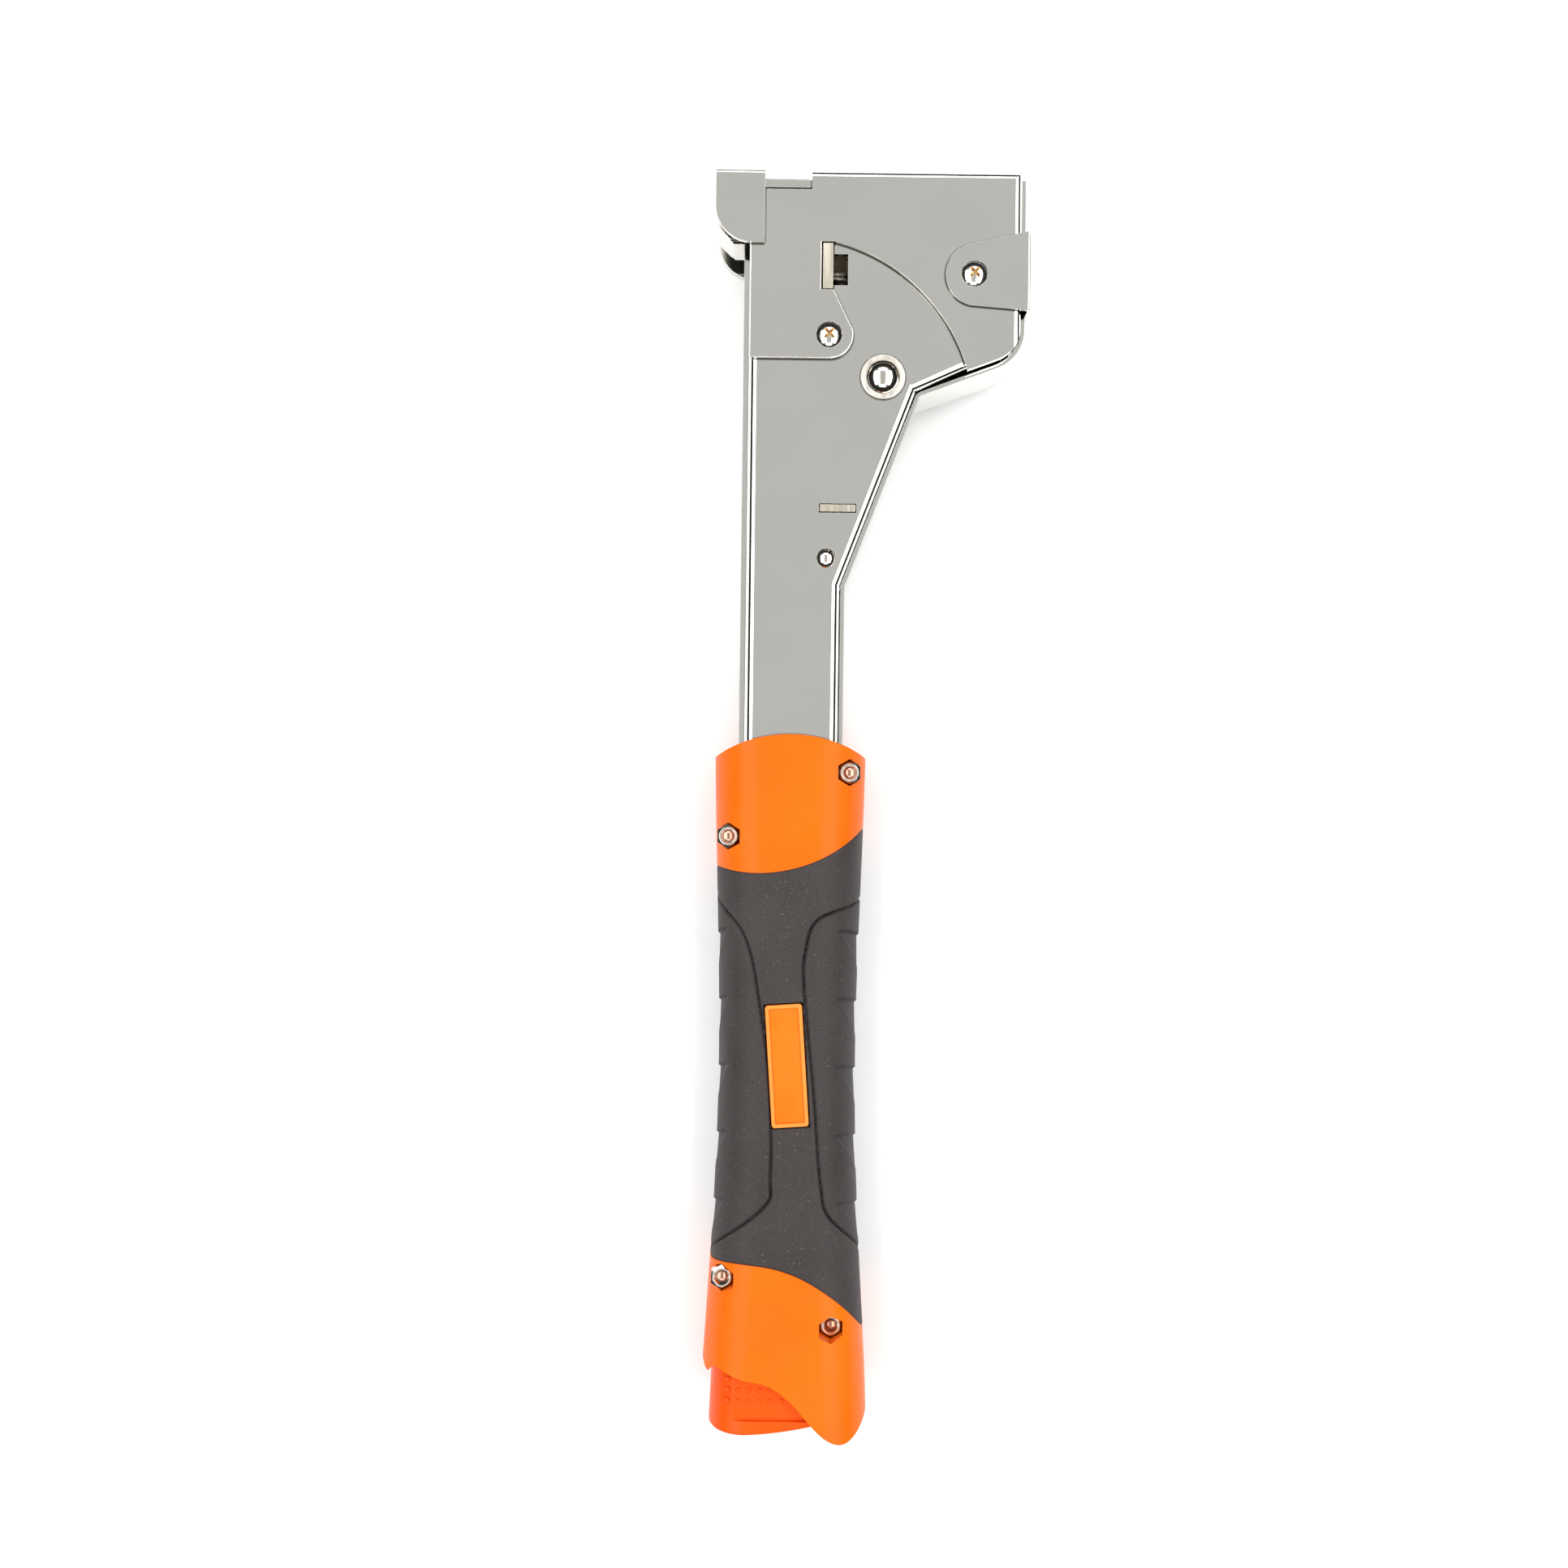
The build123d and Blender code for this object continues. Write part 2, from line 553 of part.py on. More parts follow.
with BuildPart() as nose_guard:
    with BuildSketch(Plane.YZ.offset(NOSE_X)):
        with Locations(((NOSE_BACK_Y + MAG_FRONT_Y + NOSE_SHEET) / 2, MID)):
            Rectangle(MAG_FRONT_Y + NOSE_SHEET - NOSE_BACK_Y, 2 * NOSE_HALF)
    extrude(amount=NOSE_RIGHT - NOSE_X)
    bend = nose_guard.edges().filter_by(Axis.X).group_by(Axis.Y)[-1]
    fillet(bend, 1.1)
    block(
        (NOSE_X - 1, NOSE_RIGHT + 1),
        (NOSE_BACK_Y - 1, MAG_FRONT_Y),
        (NOSE_SHEET - NOSE_HALF, NOSE_HALF - NOSE_SHEET),
        mode=Mode.SUBTRACT,
    )
    hook = nose_guard.edges().filter_by(Axis.Z).filter_by(lambda e: e.center().Y < NOSE_BACK_Y + 1)
    fillet(hook.sort_by(Axis.X)[:2], 9.0)
    block(
        (NOSE_RIGHT - 1.0, NOSE_TONGUE_X),
        (MAG_FRONT_Y, MAG_FRONT_Y + NOSE_SHEET),
        (-NOSE_TONGUE_HALF, NOSE_TONGUE_HALF),
    )
save(nose_guard, "nose_guard")

with BuildPart() as staple_rail:
    block((MAG_FLOOR_X + MAG_SHEET, RAIL_TOP_X), (MAG_TAIL_Y, MAG_MOUTH_Y), (-RAIL_HALF, RAIL_HALF))
    fillet(staple_rail.edges().filter_by(Axis.Y).group_by(Axis.X)[-1], 0.4)
    block(
        (MAG_FLOOR_X, RAIL_TOP_X - 1.0),
        (MAG_TAIL_Y - 1, MAG_MOUTH_Y + 1),
        (1.0 - RAIL_HALF, RAIL_HALF - 1.0),
        mode=Mode.SUBTRACT,
    )
    block(
        (RAIL_TOP_X - 2, 0),
        (RAIL_SLOT_Y, FOLLOWER_FRONT_Y + 0.5),
        (-RAIL_SLOT_HALF, RAIL_SLOT_HALF),
        mode=Mode.SUBTRACT,
    )
save(staple_rail, "staple_rail")

with BuildPart() as spring_saddle:
    block((MAG_TOP_X, SPRING_LOW_X - 0.1), (128.0, 140.0), (-MAG_HALF, MAG_HALF))
    fillet(spring_saddle.edges().filter_by(Axis.X), 1.5)
save(spring_saddle, "spring_saddle")

with BuildPart() as staple_strip:
    for i in range(STAPLE_COUNT):
        rear = STAPLE_FIRST_Y - i * STAPLE_PITCH - STAPLE_WIDTH / 2
        with BuildSketch(Plane(origin=(0, rear, MID), x_dir=(1, 0, 0), z_dir=(0, 1, 0))):
            with Locations((STAPLE_CROWN_X - STAPLE_LEG / 2, 0)):
                Rectangle(STAPLE_LEG, 2 * STAPLE_HALF)
                with Locations((-STAPLE_WIRE, 0)):
                    Rectangle(STAPLE_LEG, 2 * (STAPLE_HALF - STAPLE_WIRE), mode=Mode.SUBTRACT)
        extrude(amount=STAPLE_WIDTH)
save(staple_strip, "staple_strip")


# ================================================================ follower and pull

with BuildPart() as follower:
    span = (FOLLOWER_BACK_Y, FOLLOWER_FRONT_Y)
    leg_x = STAPLE_CROWN_X - STAPLE_LEG
    block((leg_x, STAPLE_CROWN_X), span, (-STAPLE_HALF, STAPLE_HALF))
    block((leg_x - 1, RAIL_TOP_X + 0.1), span, (-RAIL_HALF - 0.1, RAIL_HALF + 0.1), mode=Mode.SUBTRACT)
    block((ROD_X, RAIL_TOP_X + 0.2), span, (-1.0, 1.0))
    with BuildSketch(Plane(origin=(ROD_X, FOLLOWER_BACK_Y, MID), z_dir=(0, 1, 0))):
        Circle(2.6)
    extrude(amount=3.0)
save(follower, "follower")

with BuildPart() as pusher_spring:
    start_y = ROD_FRONT_Y + 0.8
    length = FOLLOWER_BACK_Y - start_y - 0.8
    with BuildLine() as coil:
        Helix(length / PUSHER_TURNS, length, PUSHER_R, center=(ROD_X, start_y, MID), direction=(0, 1, 0))
    with BuildSketch(Plane(origin=coil.line @ 0, z_dir=coil.line % 0)):
        Circle(PUSHER_WIRE)
    sweep(path=coil.line, is_frenet=True)
save(pusher_spring, "pusher_spring")

with BuildPart() as pusher_rod:
    with BuildSketch(Plane(origin=(ROD_X, ROD_BACK_Y, MID), z_dir=(0, 1, 0))):
        Circle(ROD_R)
    extrude(amount=ROD_FRONT_Y - ROD_BACK_Y)
    chamfer(pusher_rod.edges().filter_by(GeomType.CIRCLE).sort_by(Axis.Y)[-1], 0.5)
    post((ROD_X, CROSS_PIN_Y), CROSS_PIN_R, -3, 3, mode=Mode.SUBTRACT)
save(pusher_rod, "pusher_rod")


# ================================================================ grip

def grip_envelope(inset):
    """Long waisted body with rounded sides, drawn inside the grip's skin by an inset."""
    with BuildPart() as envelope:
        with BuildSketch(level(inset - GRIP_HALF)):
            with BuildLine():
                right = Spline(*[(AXIS_X + half - inset, y) for y, half in GRIP_STATIONS])
                left = Spline(*[(AXIS_X - half + inset, y) for y, half in GRIP_STATIONS])
                Line(right @ 0, left @ 0)
                Line(right @ 1, left @ 1)
            make_face()
        extrude(amount=2 * (GRIP_HALF - inset))
        fillet(envelope.edges().filter_by(lambda e: e.length > 150), GRIP_ROUND - inset)
    return envelope.part


with BuildSketch() as butt_plan:
    with BuildLine():
        cut = Spline(
            (3.2, -143.5),
            (2.2, -151.0),
            (-3.6, BUTT_Y),
            (-9.6, -153.8),
            (-14.1, -149.0),
            (-18.6, -144.4),
            (-24.0, -141.2),
            (-31.0, -139.8),
            (-37.0, -138.6),
            (-41.5, -134.5),
            tangents=((0, -1), (-0.4, 1)),
        )
        Line(cut @ 1, (-60, -134.5))
        Line((-60, -134.5), (-60, -200))
        Line((-60, -200), (20, -200))
        Line((20, -200), (20, -143.5))
        Line((20, -143.5), cut @ 0)
    make_face()

# Plan of the rubber zone: between the sweeping edges of the two ferrules
with BuildSketch() as rubber_plan:
    with BuildLine():
        Polyline(
            (-60, REAR_SWEEP[0][1]),
            (20, REAR_SWEEP[0][1]),
            (20, FRONT_SWEEP[0][1]),
            (-60, FRONT_SWEEP[0][1]),
            close=True,
        )
    make_face()
    for centre, radius in (FRONT_SWEEP, REAR_SWEEP):
        with Locations(centre):
            Circle(radius, mode=Mode.SUBTRACT)

outer_skin = grip_envelope(0)
inner_skin = grip_envelope(RUBBER)

with BuildPart() as badge_blank:
    with BuildSketch(level(GRIP_HALF - BADGE_DEPTH)):
        with Locations(BADGE_CENTRE):
            RectangleRounded(*BADGE_SIZE, 0.8, rotation=BADGE_TURN)
    extrude(amount=BADGE_DEPTH)

with BuildPart() as grip_rubber_upper:
    add(outer_skin)
    add(inner_skin, mode=Mode.SUBTRACT)
    with BuildSketch(level(0)):
        add(rubber_plan.sketch)
    extrude(amount=GRIP_HALF + 1, mode=Mode.INTERSECT)
    add(badge_blank.part, mode=Mode.SUBTRACT)
save(grip_rubber_upper, "grip_rubber_upper")
lower_twin(grip_rubber_upper, "grip_rubber_lower")

with BuildPart() as badge_upper:
    add(badge_blank.part)
    with BuildSketch(level(GRIP_HALF)):
        with Locations(BADGE_CENTRE):
            RectangleRounded(BADGE_SIZE[0] - 1.8, BADGE_SIZE[1] - 1.8, 0.4, rotation=BADGE_TURN)
    extrude(amount=-0.4, mode=Mode.SUBTRACT)
save(badge_upper, "badge_upper")
lower_twin(badge_upper, "badge_lower")


with BuildPart() as pull_space:
    add(grip_envelope(PULL_INSET - PULL_CLEARANCE))
    block(
        (-60, PULL_RIGHT + PULL_CLEARANCE),
        (-190, PULL_FRONT_Y + PULL_CLEARANCE),
        (-MID, MID),
        mode=Mode.INTERSECT,
    )
pull_pocket = pull_space.part


def grip_shell(nut_pocket):
    """Upper moulded half of the handle; its bolt pockets are hexagonal for nuts or round for heads."""
    with BuildPart() as shell:
        add(outer_skin)
        with BuildSketch(level(0)):
            with Locations(CROWN[0]):
                Circle(CROWN[1])
            with BuildLine():
                Polyline((-60, -200), (20, -200), (20, -5), (-60, -5), close=True)
            make_face()
        extrude(amount=GRIP_HALF + 1, mode=Mode.INTERSECT)
        with BuildSketch(level(0)):
            add(butt_plan.sketch)
        extrude(amount=GRIP_HALF + 1, mode=Mode.SUBTRACT)
        add(grip_rubber_upper.part, mode=Mode.SUBTRACT)
        add(badge_blank.part, mode=Mode.SUBTRACT)
        mouth_left = MAG_FLOOR_X - 0.4
        mouth_right = BAR_RIGHT + SPINE_GAP + SPINE_SHEET + 0.4
        block((mouth_left, BAR_RIGHT + 0.3), (BAR_TAIL_Y - 1, 40), (-11.2, 11.2), mode=Mode.SUBTRACT)
        block((mouth_left, mouth_right), (SPINE_TAIL_Y - 0.4, 40), (-11.2, 11.2), mode=Mode.SUBTRACT)
        tail_half = MAG_HALF + 0.5
        block((mouth_left - TAIL_ROOM, AXIS_X), TAIL_ROOM_Y, (-tail_half, tail_half), mode=Mode.SUBTRACT)
        block(SPRING_ROOM_X, SPRING_ROOM_Y, (-SPRING_ROOM_HALF, SPRING_ROOM_HALF), mode=Mode.SUBTRACT)
        post(GRIP_PIN, GRIP_PIN_R, -GRIP_PIN_HALF - 0.1, GRIP_PIN_HALF + 0.1, mode=Mode.SUBTRACT)
        with BuildSketch(Plane(origin=(ROD_X, -150, MID), z_dir=(0, 1, 0))):
            Circle(ROD_R + 0.4)
        extrude(amount=140, mode=Mode.SUBTRACT)
        add(pull_pocket, mode=Mode.SUBTRACT)
        with BuildSketch(level(0)):
            with Locations(*GRIP_BOLTS):
                Circle(GRIP_SCREW_R + HOLE_CLEARANCE)
        extrude(amount=GRIP_HALF, mode=Mode.SUBTRACT)
        with BuildSketch(level(GRIP_NUT_LOW)):
            with Locations(*GRIP_BOLTS):
                if nut_pocket:
                    RegularPolygon(GRIP_NUT_FLATS / 2 + 0.2, 6, major_radius=False, rotation=30)
                else:
                    Circle(GRIP_NUT_FLATS / 2 + 0.2)
        extrude(amount=GRIP_HALF, mode=Mode.SUBTRACT)
    return shell


grip_shell_upper = grip_shell(True)
save(grip_shell_upper, "grip_shell_upper")
lower_half = grip_shell(False)
lower_twin(lower_half, "grip_shell_lower")

with BuildPart() as pull_handle:
    add(grip_envelope(PULL_INSET))
    with BuildSketch(level(-GRIP_HALF)):
        with BuildLine():
            Line((-50, -152.8), (-50, PULL_FRONT_Y))
            Line((-50, PULL_FRONT_Y), (PULL_RIGHT, PULL_FRONT_Y))
            Line((PULL_RIGHT, PULL_FRONT_Y), (PULL_RIGHT, -152.4))
            foot = ThreePointArc((PULL_RIGHT, -152.4), (-26.0, -154.6), (-36.0, -154.8))
            Line(foot @ 1, (-50, -152.8))
        make_face()
    extrude(amount=2 * GRIP_HALF, mode=Mode.INTERSECT)
    for side in (-1, 1):
        scoop = sorted((side * PULL_SCOOP_HALF, side * GRIP_HALF))
        block((-60, 0), PULL_SCOOP_Y, scoop, mode=Mode.SUBTRACT)
    with BuildSketch(Plane(origin=(ROD_X, ROD_BACK_Y, MID), z_dir=(0, 1, 0))):
        Circle(ROD_R)
    extrude(amount=20, mode=Mode.SUBTRACT)
    post((ROD_X, CROSS_PIN_Y), CROSS_PIN_R, -CROSS_PIN_HALF, CROSS_PIN_HALF, mode=Mode.SUBTRACT)
save(pull_handle, "pull_handle")

with BuildPart() as rod_cross_pin:
    post((ROD_X, CROSS_PIN_Y), CROSS_PIN_R, -CROSS_PIN_HALF, CROSS_PIN_HALF)
save(rod_cross_pin, "rod_cross_pin")

nut_top = GRIP_NUT_LOW + GRIP_NUT_H
with BuildPart() as nut_cones:
    with Locations(*[(x, y, MID + GRIP_NUT_LOW + GRIP_NUT_H / 2) for x, y in GRIP_BOLTS]):
        Cone(NUT_FACE_R + GRIP_NUT_H * NUT_CHAMFER_SLOPE, NUT_FACE_R, GRIP_NUT_H)

with BuildPart() as grip_nuts:
    with BuildSketch(level(GRIP_NUT_LOW)):
        with Locations(*GRIP_BOLTS):
            RegularPolygon(GRIP_NUT_FLATS / 2, 6, major_radius=False, rotation=30)
    extrude(amount=GRIP_NUT_H)
    add(nut_cones.part, mode=Mode.INTERSECT)
    with Locations(*[(x, y, MID + nut_top - NUT_SINK / 2) for x, y in GRIP_BOLTS]):
        Cone(GRIP_SCREW_R, GRIP_SCREW_R + NUT_SINK, NUT_SINK, mode=Mode.SUBTRACT)
    for place in GRIP_BOLTS:
        post(place, GRIP_SCREW_R, GRIP_NUT_LOW, nut_top, mode=Mode.SUBTRACT)
save(grip_nuts, "grip_nuts")

with BuildPart() as grip_screws:
    for place in GRIP_BOLTS:
        post(place, GRIP_SCREW_R, -GRIP_NUT_LOW, GRIP_NUT_LOW + GRIP_SCREW_REACH)
        dome(place, GRIP_SCREW_R, GRIP_NUT_LOW + GRIP_SCREW_REACH, GRIP_SCREW_DOME)
        post(place, 2.7, -GRIP_NUT_LOW - 1.8, -GRIP_NUT_LOW)
        with BuildSketch(level(-GRIP_NUT_LOW - 1.8)):
            with Locations(place):
                Rectangle(2.6, 0.7)
                Rectangle(0.7, 2.6)
        extrude(amount=1.0, mode=Mode.SUBTRACT)
save(grip_screws, "grip_screws")
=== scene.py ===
import math

import bmesh
import bpy
import numpy as np
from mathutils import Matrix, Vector
from mathutils.bvhtree import BVHTree


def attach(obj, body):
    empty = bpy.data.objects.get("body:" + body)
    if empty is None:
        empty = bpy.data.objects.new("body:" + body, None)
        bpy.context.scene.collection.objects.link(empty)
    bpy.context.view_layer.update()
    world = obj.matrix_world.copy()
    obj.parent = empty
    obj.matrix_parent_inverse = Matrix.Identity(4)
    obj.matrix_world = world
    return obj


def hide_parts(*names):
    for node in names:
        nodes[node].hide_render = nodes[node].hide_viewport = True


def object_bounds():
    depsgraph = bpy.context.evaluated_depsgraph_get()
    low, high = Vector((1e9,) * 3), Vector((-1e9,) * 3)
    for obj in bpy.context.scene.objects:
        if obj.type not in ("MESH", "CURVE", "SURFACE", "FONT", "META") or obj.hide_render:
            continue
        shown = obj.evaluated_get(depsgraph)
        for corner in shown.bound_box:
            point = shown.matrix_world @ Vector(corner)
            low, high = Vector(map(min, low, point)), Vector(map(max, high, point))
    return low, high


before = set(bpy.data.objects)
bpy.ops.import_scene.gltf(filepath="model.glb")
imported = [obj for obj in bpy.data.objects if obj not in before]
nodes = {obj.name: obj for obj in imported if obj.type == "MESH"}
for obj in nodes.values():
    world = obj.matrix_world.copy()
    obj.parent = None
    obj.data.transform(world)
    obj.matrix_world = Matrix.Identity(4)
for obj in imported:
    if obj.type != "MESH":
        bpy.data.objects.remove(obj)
cad_low, cad_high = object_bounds()

# Hammer tacker lying on its side: +Y from butt to head, -X is the striking side, +Z up.  Metres.
MM = 0.001
MID_Z = (cad_low[2] + cad_high[2]) / 2

# Design values below are in millimetres from the drawing's datum.  The frame's own origin is at the
# centre of the footprint, so the two outermost faces of the head tie one to the other.
HEAD_BACK_X = 39.6
HEAD_FRONT_Y = 162.5
DATUM_X = cad_high[0] / MM - HEAD_BACK_X
DATUM_Y = cad_high[1] / MM - HEAD_FRONT_Y
AXIS_MM = -19.05                # centre line of bar and grip
GRIP_X = (AXIS_MM + DATUM_X) * MM


def placed(x, y, z):
    """Frame position in metres of a design point; z is measured from the middle plane."""
    return ((x + DATUM_X) * MM, (y + DATUM_Y) * MM, MID_Z + z * MM)


# ---------------------------------------------------------------- colours

CHROME_LIGHT = (0.87, 0.86, 0.815)
CHROME_DARK = (0.835, 0.825, 0.78)
NICKEL_LIGHT = (0.90, 0.86, 0.79)
NICKEL_DARK = (0.80, 0.75, 0.66)
SATIN_LIGHT = (0.84, 0.80, 0.74)
SATIN_DARK = (0.76, 0.71, 0.64)
WARM_LIGHT = (0.86, 0.80, 0.68)
WARM_DARK = (0.74, 0.66, 0.53)
STEEL_LIGHT = (0.62, 0.61, 0.60)
STEEL_DARK = (0.48, 0.47, 0.46)
OILED_LIGHT = (0.11, 0.10, 0.10)
OILED_DARK = (0.05, 0.05, 0.05)
WIRE_LIGHT = (0.74, 0.74, 0.72)
WIRE_DARK = (0.60, 0.60, 0.59)
COPPER_LIGHT = (0.62, 0.36, 0.26)
COPPER_DARK = (0.46, 0.22, 0.15)
SCREW_LIGHT = (0.90, 0.87, 0.82)
SCREW_DARK = (0.80, 0.77, 0.72)
SCREW_RECESS = (0.72, 0.50, 0.24)
# painted shade: near-black laid into the inside corners of plated parts
CORNER_SHADE = (0.02, 0.02, 0.02)
ORANGE = (0.80, 0.145, 0.002)
ORANGE_DRIFT = (0.80, 0.118, 0.002)
ORANGE_FLECK = (0.35, 0.05, 0.01)
PULL_ORANGE = (0.78, 0.082, 0.002)
PULL_DRIFT = (0.76, 0.070, 0.002)
BADGE_FIELD = (0.80, 0.148, 0.003)
BADGE_CLOUD = (0.86, 0.26, 0.03)
BADGE_RIM = (0.84, 0.26, 0.045)
RUBBER_DARK = (0.034, 0.028, 0.027)
RUBBER_LIGHT = (0.045, 0.038, 0.037)
RUBBER_GRAIN = (0.068, 0.059, 0.057)
RUBBER_DUST = (0.22, 0.20, 0.19)
# painted shade for the rubber's grooves, leaf outlines and badge pocket
RUBBER_SHADE = (0.006, 0.005, 0.005)


# ---------------------------------------------------------------- material helpers

class Finish:
    """A node material being put together, with short calls for the nodes that the finishes share."""

    def __init__(self, name):
        self.material = bpy.data.materials.new(name)
        self.material.use_nodes = True
        self.tree = self.material.node_tree
        self.tree.nodes.clear()
        self.output = self.tree.nodes.new("ShaderNodeOutputMaterial")
        self.shader = self.tree.nodes.new("ShaderNodeBsdfPrincipled")
        self.link(self.shader.outputs[0], self.output.inputs["Surface"])
        self.place = self.tree.nodes.new("ShaderNodeTexCoord").outputs["Object"]

    def link(self, source, target):
        self.tree.links.new(source, target)

    def constant(self, **values):
        """Set the shader's own sockets; underscores in a name stand for spaces."""
        for name, value in values.items():
            self.shader.inputs[name.replace("_", " ")].default_value = value

    def noise(self, scale, detail=3.0, stretch=(1, 1, 1)):
        """Noise over the frame's metres: a scale of 1000 has features of about a millimetre."""
        mapping = self.tree.nodes.new("ShaderNodeMapping")
        mapping.inputs["Scale"].default_value = stretch
        self.link(self.place, mapping.inputs["Vector"])
        noise = self.tree.nodes.new("ShaderNodeTexNoise")
        noise.inputs["Scale"].default_value = scale
        noise.inputs["Detail"].default_value = detail
        self.link(mapping.outputs[0], noise.inputs["Vector"])
        return noise.outputs["Fac"]

    def spread(self, source, low, high, start=0.3, end=0.7):
        """Remap a value from start..end to low..high."""
        remap = self.tree.nodes.new("ShaderNodeMapRange")
        remap.inputs["From Min"].default_value = start
        remap.inputs["From Max"].default_value = end
        remap.inputs["To Min"].default_value = low
        remap.inputs["To Max"].default_value = high
        self.link(source, remap.inputs["Value"])
        return remap.outputs["Result"]

    def mix(self, amount, below, above):
        """Blend two colours, each an RGB tuple or a socket, by a mask socket."""
        mix = self.tree.nodes.new("ShaderNodeMix")
        mix.data_type = "RGBA"
        self.link(amount, mix.inputs["Factor"])
        for name, colour in (("A", below), ("B", above)):
            socket = [s for s in mix.inputs if s.name == name and s.type == "RGBA"][0]
            if isinstance(colour, tuple):
                socket.default_value = (*colour, 1)
            else:
                self.link(colour, socket)
        return [s for s in mix.outputs if s.type == "RGBA"][0]

    def combine(self, operation, *values):
        """Math node on one or two values, each a number or a socket."""
        node = self.tree.nodes.new("ShaderNodeMath")
        node.operation = operation
        for socket, value in zip(node.inputs, values):
            if isinstance(value, bpy.types.NodeSocket):
                self.link(value, socket)
            else:
                socket.default_value = value
        return node.outputs[0]

    def axes(self):
        """X, Y and Z of the surface point in the frame, in metres."""
        split = self.tree.nodes.new("ShaderNodeSeparateXYZ")
        self.link(self.place, split.inputs[0])
        return split.outputs

    def bump(self, height, distance, strength=1.0, under=None):
        """Normals raised by a height mask, on top of other normals when those are given."""
        bump = self.tree.nodes.new("ShaderNodeBump")
        bump.inputs["Distance"].default_value = distance
        bump.inputs["Strength"].default_value = strength
        self.link(height, bump.inputs["Height"])
        if under is not None:
            self.link(under, bump.inputs["Normal"])
        return bump.outputs["Normal"]

    def corners(self, reach):
        """Mask that is high in inside corners, where shade is painted into the colour."""
        shelter = self.tree.nodes.new("ShaderNodeAmbientOcclusion")
        shelter.samples = 8
        shelter.inputs["Distance"].default_value = reach
        return self.spread(shelter.outputs["AO"], 1.0, 0.0, start=0.52, end=0.86)

    def soft_edges(self, radius):
        """Normals rounded over a small radius, as on a plated or moulded edge."""
        bevel = self.tree.nodes.new("ShaderNodeBevel")
        bevel.samples = 4
        bevel.inputs["Radius"].default_value = radius
        return bevel.outputs["Normal"]

    def colour(self, source):
        self.link(source, self.shader.inputs["Base Color"])

    def roughness(self, source):
        self.link(source, self.shader.inputs["Roughness"])

    def normal(self, source):
        self.link(source, self.shader.inputs["Normal"])


def plated(name, light, dark, rough=(0.055, 0.085), wave=0.02):
    """Bright plating over pressed steel: faint waviness, cloudy patches, hairline scratches and painted
    shade in inside corners.
    """
    finish = Finish(name)
    finish.constant(Metallic=1.0)
    cloud = finish.spread(finish.noise(45, detail=4), 0, 1)
    clean = finish.mix(cloud, dark, light)
    # Inside corners are darkened towards near-black: painted shade.
    finish.colour(finish.mix(finish.corners(0.8 * MM), clean, CORNER_SHADE))
    hairs = finish.noise(900, detail=2, stretch=(1.0, 0.06, 1.0))
    scratched = finish.spread(hairs, *rough, start=0.35, end=0.7)
    pitted = finish.spread(finish.noise(700, detail=1), 0.0, 0.06, start=0.76, end=0.82)
    finish.roughness(finish.combine("ADD", scratched, pitted))
    rounded = finish.soft_edges(0.14 * MM)
    waves = finish.bump(finish.noise(28, detail=1), 0.4 * MM, wave, under=rounded)
    finish.normal(finish.bump(hairs, 0.004 * MM, 0.08, under=waves))
    return finish.material


def moulded(name, core, drift, rough=(0.3, 0.42)):
    """Semi-gloss moulded plastic: slight colour drift, fine orange-peel and small dark flecks."""
    finish = Finish(name)
    finish.constant(Specular_IOR_Level=0.14)
    tint = finish.mix(finish.spread(finish.noise(26, detail=3), 0, 1), drift, core)
    flecks = finish.spread(finish.noise(2600, detail=1), 0.0, 0.35, start=0.78, end=0.84)
    finish.colour(finish.mix(flecks, tint, ORANGE_FLECK))
    finish.roughness(finish.spread(finish.noise(160, detail=4), *rough))
    rounded = finish.soft_edges(0.35 * MM)
    finish.normal(finish.bump(finish.noise(1100, detail=2), 0.03 * MM, 0.25, under=rounded))
    return finish.material


def rubber(name):
    """Fine matte overmould: grainy skin, pale dust, painted shade in the moulded grooves."""
    finish = Finish(name)
    finish.constant(Specular_IOR_Level=0.20)
    grain = finish.noise(2300, detail=3)
    patch = finish.noise(60, detail=4)
    base = finish.mix(finish.spread(patch, 0, 1), RUBBER_DARK, RUBBER_LIGHT)
    grained = finish.mix(finish.spread(grain, 0.0, 0.5, start=0.45, end=0.75), base, RUBBER_GRAIN)
    dust = finish.spread(finish.noise(2500, detail=0), 0.0, 0.6, start=0.80, end=0.86)
    dusty = finish.mix(dust, grained, RUBBER_DUST)
    painted_shade = finish.tree.nodes.new("ShaderNodeAttribute")
    painted_shade.attribute_name = SHADE_ATTRIBUTE
    # Grooves, leaf outlines and the badge pocket are darkened: painted shade.
    finish.colour(finish.mix(painted_shade.outputs["Fac"], dusty, RUBBER_SHADE))
    finish.roughness(finish.spread(patch, 0.48, 0.60))
    finish.normal(finish.bump(grain, 0.06 * MM, 0.55))
    return finish.material


def badge(name):
    """Moulded badge whose raised border is paler than its field."""
    finish = Finish(name)
    finish.constant(Specular_IOR_Level=0.14)
    height = finish.combine("ABSOLUTE", finish.combine("SUBTRACT", finish.axes()[2], MID_Z))
    raised = finish.spread(height, 0, 1, start=BADGE_STEP[0] * MM, end=BADGE_STEP[1] * MM)
    cloud = finish.spread(finish.noise(120, detail=3), 0.0, 0.25)
    field = finish.mix(cloud, BADGE_FIELD, BADGE_CLOUD)
    finish.colour(finish.mix(raised, field, BADGE_RIM))
    finish.roughness(finish.spread(finish.noise(200, detail=3), 0.34, 0.46))
    rounded = finish.soft_edges(0.2 * MM)
    finish.normal(finish.bump(finish.noise(1100, detail=2), 0.02 * MM, 0.2, under=rounded))
    return finish.material


